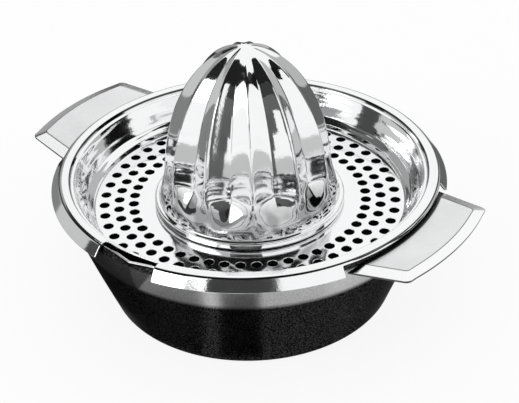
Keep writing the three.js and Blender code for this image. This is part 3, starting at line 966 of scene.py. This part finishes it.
def handle_line(end_radius, half_end, half_root, corner):
    """One outline of the handle, from the bowl's wall round the end and back to the wall."""
    reach = math.sqrt(end_radius ** 2 - half_end ** 2)
    root = Vector((HANDLE_ROOT, -half_root))
    outer = Vector((reach, -half_end))
    along = (outer - root).normalized()
    # where the side meets the circle round the wall
    b = root.dot(along)
    c = root.dot(root) - WALL_CLEARANCE ** 2
    start = root + along * (-b + math.sqrt(b * b - c))
    lean = Vector((end_radius, -half_end + (end_radius - reach) * HANDLE_CORNER_LEAN))
    side = rounded([(*start, 0), (*outer, corner), (*lean, 0)])[:-1]
    straight = [start.lerp(side[1], k / HANDLE_SIDE_STEPS) for k in range(HANDLE_SIDE_STEPS)]
    arc_end = HANDLE_ARC_SHARE * math.asin(half_end / end_radius)
    arc = []
    for k in range(HANDLE_ARC_STEPS + 1):
        a = -arc_end + 2 * arc_end * k / HANDLE_ARC_STEPS
        arc.append(Vector((end_radius * math.cos(a), end_radius * math.sin(a))))
    near_side = straight + side[1:]
    far_side = [Vector((p.x, -p.y)) for p in reversed(near_side)]
    return near_side + arc + far_side


def bevel_steps():
    """Places across the bevel, from the plate at less than 0 to the edge at 1, and their drops."""
    bend = CREASE_RADIUS / (EDGE_LINE[0] - CREASE_LINE[0])
    crease = [(place * bend, drop * bend) for place, drop in CREASE_BEND]
    return crease + [(place, place) for place in BEVEL_PLACES]


def add_handle(name, node, turn, material):
    """A pressed plate with a bevelled border. turn is 1 for the right handle, and -1 for the left
    one, which is the same plate half a turn round."""
    points = []
    lines = []
    for t, drop in bevel_steps():
        line = handle_line(*(a + (b - a) * t for a, b in zip(CREASE_LINE, EDGE_LINE)))
        lines.append(line)
        points.extend((p.x, p.y, HANDLE_TOP - drop * BEVEL_DROP) for p in line)
    columns = len(lines[0])
    faces = [tuple(reversed(f)) for f in grid_faces(len(lines), columns, closed=False)]
    start_angle = math.atan2(lines[0][0].y, lines[0][0].x)
    wall = []
    for k in range(1, HANDLE_WALL_STEPS):
        a = start_angle + (-2 * start_angle) * k / HANDLE_WALL_STEPS
        wall.append(len(points))
        points.append(polar(WALL_CLEARANCE, a, HANDLE_TOP))
    faces.append(tuple(range(columns)) + tuple(reversed(wall)))
    leaning = [(x, y, z + HANDLE_TILT * (x - RIM_RADIUS)) for x, y, z in points]
    turned = [(x * turn, y * turn, z) for x, y, z in leaning]
    piece = add_piece(name, turned, faces, material, "base", [node])
    thicken(piece, HANDLE_SHEET, HANDLE_EDGE_RADIUS)


def add_weld_tab(name, node, turn, material):
    """The tab that bends down from the plate's root and lies on the bowl's collar."""
    section = bowl_section()
    points = []
    for i in range(TAB_ROWS + 1):
        height = TAB_TOP + (TAB_FOOT - TAB_TOP) * i / TAB_ROWS
        wall = next(a.lerp(b, (height - a.y) / (b.y - a.y)) for a, b in zip(section, section[1:])
                    if a.y <= height <= b.y and b.y > a.y)
        radius = wall.x + SEAT_GAP + HANDLE_SHEET + TAB_CLEARANCE
        below = max(TAB_CORNER - (height - TAB_FOOT), 0)
        narrowing = TAB_CORNER - math.sqrt(TAB_CORNER ** 2 - below ** 2)
        half = TAB_ANGLE - narrowing / radius
        for j in range(TAB_COLUMNS + 1):
            x, y, z = polar(radius, -half + 2 * half * j / TAB_COLUMNS, height)
            points.append((x * turn, y * turn, z))
    grid = grid_faces(TAB_ROWS + 1, TAB_COLUMNS + 1, closed=False)
    faces = [tuple(reversed(f)) for f in grid]
    piece = add_piece(name, points, faces, material, "base", [node])
    thicken(piece, HANDLE_SHEET, HANDLE_EDGE_RADIUS)


# Floor, light and what polished steel mirrors: white walls and grey and dark cards round the table

WHITE_LEVEL = 255
DISPLAY_GAMMA = 2.2


def shade_of(level):
    """The brightness of a grey as light, from the level that it has in a picture, 0 to 255."""
    return (level / WHITE_LEVEL) ** DISPLAY_GAMMA


def add_stage_mesh(name, points, faces, material):
    mesh = bpy.data.meshes.new(name)
    mesh.from_pydata(points, [], faces)
    mesh.materials.append(material)
    piece = bpy.data.objects.new(name, mesh)
    bpy.context.scene.collection.objects.link(piece)
    return piece


FLOOR_HALF = 3.0
FLOOR_COLOUR = grey(0.88)
# How much of the floor's look is plain white light, for the camera and for mirrors
FLOOR_WHITE_SHARE = 0.88


def add_floor():
    nodes = Nodes("floor")
    rays = nodes.add("ShaderNodeLightPath")
    seen = nodes.math("MAXIMUM", rays.outputs["Is Camera Ray"], rays.outputs["Is Glossy Ray"])
    plain = nodes.add("ShaderNodeBsdfDiffuse", Color=FLOOR_COLOUR)
    white = nodes.add("ShaderNodeEmission")
    mix = nodes.add("ShaderNodeMixShader")
    nodes.feed(mix.inputs[0], nodes.math("MULTIPLY", seen, FLOOR_WHITE_SHARE))
    nodes.feed(mix.inputs[1], plain.outputs[0])
    nodes.feed(mix.inputs[2], white.outputs[0])
    half = FLOOR_HALF
    points = [(-half, -half, 0), (half, -half, 0), (half, half, 0), (-half, half, 0)]
    add_stage_mesh("floor", points, [(0, 1, 2, 3)], nodes.finish(mix.outputs[0]))


# The world's light on the object. The camera and mirrors see it as white.
WORLD_LIGHT = 0.95


def add_world():
    world = bpy.data.worlds.new("studio")
    world.use_nodes = True
    tree = world.node_tree
    background = tree.nodes["Background"]
    background.inputs["Color"].default_value = grey(1)
    rays = tree.nodes.new("ShaderNodeLightPath")
    seen = tree.nodes.new("ShaderNodeMath")
    seen.operation = "MAXIMUM"
    tree.links.new(rays.outputs["Is Camera Ray"], seen.inputs[0])
    tree.links.new(rays.outputs["Is Glossy Ray"], seen.inputs[1])
    strength = tree.nodes.new("ShaderNodeMapRange")
    strength.inputs["To Min"].default_value = WORLD_LIGHT
    strength.inputs["To Max"].default_value = 1.0
    tree.links.new(seen.outputs[0], strength.inputs["Value"])
    tree.links.new(strength.outputs["Result"], background.inputs["Strength"])
    bpy.context.scene.world = world


KEY_PLACE = (-0.42, -1.15, 0.72)
KEY_TARGET = (0, 0, 0.04)
KEY_SIZE = (0.8, 0.45)
KEY_POWER = 3.4


def add_key_lamp():
    data = bpy.data.lights.new("key", "AREA")
    data.shape = "RECTANGLE"
    data.size, data.size_y = KEY_SIZE
    data.energy = KEY_POWER
    lamp = bpy.data.objects.new("key", data)
    lamp.location = KEY_PLACE
    aim = Vector(KEY_TARGET) - Vector(KEY_PLACE)
    lamp.rotation_euler = aim.to_track_quat("-Z", "Y").to_euler()
    bpy.context.scene.collection.objects.link(lamp)


CARD_DISTANCE = 1.6
# Degrees between the points of a card, at most
CARD_STEP = 6
FLOOR_CARD_HEIGHT = 0.2 * MM


def card_angles(ends):
    """Even angles in radians between two angles in degrees."""
    start, end = ends
    steps = math.ceil((end - start) / CARD_STEP)
    return [math.radians(start + (end - start) * k / steps) for k in range(steps + 1)]


def add_card(name, rows, level):
    """A grey card that only mirrors see, from its rows of points."""
    nodes = Nodes(name)
    glow = nodes.add("ShaderNodeEmission", Strength=shade_of(level))
    points = [point for row in rows for point in row]
    faces = grid_faces(len(rows), len(rows[0]), closed=False)
    card = add_stage_mesh(name, points, faces, nodes.finish(glow.outputs[0]))
    card.visible_camera = False
    card.visible_diffuse = False
    card.visible_shadow = False


def add_wall_card(name, azimuths, elevations, level):
    """A card on a sphere round the middle of the rim."""
    turns = card_angles(azimuths)
    rows = []
    for lift in card_angles(elevations):
        radius = CARD_DISTANCE * math.cos(lift)
        height = CARD_DISTANCE * math.sin(lift) + RIM_HEIGHT
        rows.append([polar(radius, turn, height) for turn in turns])
    add_card(name, rows, level)


def add_floor_card(name, azimuths, radii, level):
    """A card on the floor, between two radii."""
    turns = card_angles(azimuths)
    rows = [[polar(radius, turn, FLOOR_CARD_HEIGHT) for turn in turns] for radius in radii]
    add_card(name, rows, level)


# Azimuths and elevations in degrees, and the card's grey level. A level over 255 is brighter than
# the white walls.
WALL_CARDS = {
    "ceiling": ((-150, 30), (47, 90), 38),
    "ceiling_left": ((-135, -92), (38, 47), 38),
    "ceiling_right": ((12, 33), (33, 47), 30),
    "front_high": ((-79, -38), (21, 34), 100),
    "front_left_high": ((-92, -79), (34, 47), 285),
    "front_top": ((-79, -38), (34, 47), 62),
    "front_low": ((-57, -38), (7, 21), 95),
    "front_foot": ((-50, -38), (-3, 7), 90),
    "front_left_edge": ((-92, -80), (-3, 34), 185),
    "left_dark": ((-150, -135), (-3, 47), 75),
    "left_far": ((-180, -150), (-3, 30), 200),
    "left_far_high": ((-180, -150), (30, 47), 105),
    "right_dark": ((33, 57), (3, 24), 25),
    "right_dark_high": ((33, 48), (24, 44), 60),
    "right_grey": ((57, 112), (-3, 24), 185),
    "back_right_grey": ((112, 120), (-3, 14), 130),
    "back_low": ((120, 141), (-3, 9), 80),
    "back_left_grey": ((141, 180), (-3, 34), 160),
    "back_left_dark": ((141, 180), (34, 46), 45),
}
# Azimuths in degrees, radii in metres, and the card's grey level
NEAR_RING = (0.06, 0.14)
FLOOR_CARDS = {
    "near_left": ((-150, -74), NEAR_RING, 95),
    "near_front": ((-67, -49), NEAR_RING, 50),
    "near_right": ((-47, -20), NEAR_RING, 215),
    "near_far_right": ((-20, 60), NEAR_RING, 245),
    "near_back": ((60, 210), NEAR_RING, 90),
    "floor_left_front": ((-137, -47), (0.14, 0.6), 195),
    "floor_right_front": ((-38, 57), (0.14, 0.6), 200),
    "floor_front": ((-47, -38), (0.14, 1.6), 95),
    "floor_right": ((57, 135), (0.16, 1.6), 100),
    "floor_back_left": ((135, 171), (0.11, 1.6), 55),
    "floor_left": ((171, 222), (0.16, 1.6), 130),
}


add_camera()
add_strainer_dish(polished_steel("strainer_steel", DISH_ROUGHNESS, turned_wall_and_fold_shade))
add_reamer_cone(polished_steel("reamer_steel", CONE_ROUGHNESS, foot_swirls_and_painted_shade))
add_bowl(painted_dark_steel("bowl_steel"))
handle_finish = satin_steel("handle_steel")
add_handle("handle_right_satin", "handle_right", 1, handle_finish)
add_handle("handle_left_satin", "handle_left", -1, handle_finish)
add_weld_tab("handle_right_tab", "handle_right", 1, handle_finish)
add_weld_tab("handle_left_tab", "handle_left", -1, handle_finish)
add_floor()
add_world()
add_key_lamp()
for card_name, card in WALL_CARDS.items():
    add_wall_card(card_name, *card)
for card_name, card in FLOOR_CARDS.items():
    add_floor_card(card_name, *card)

bpy.context.scene.view_settings.view_transform = "Standard"


def plain(corners):
    return [[float(v) for v in corner] for corner in corners]
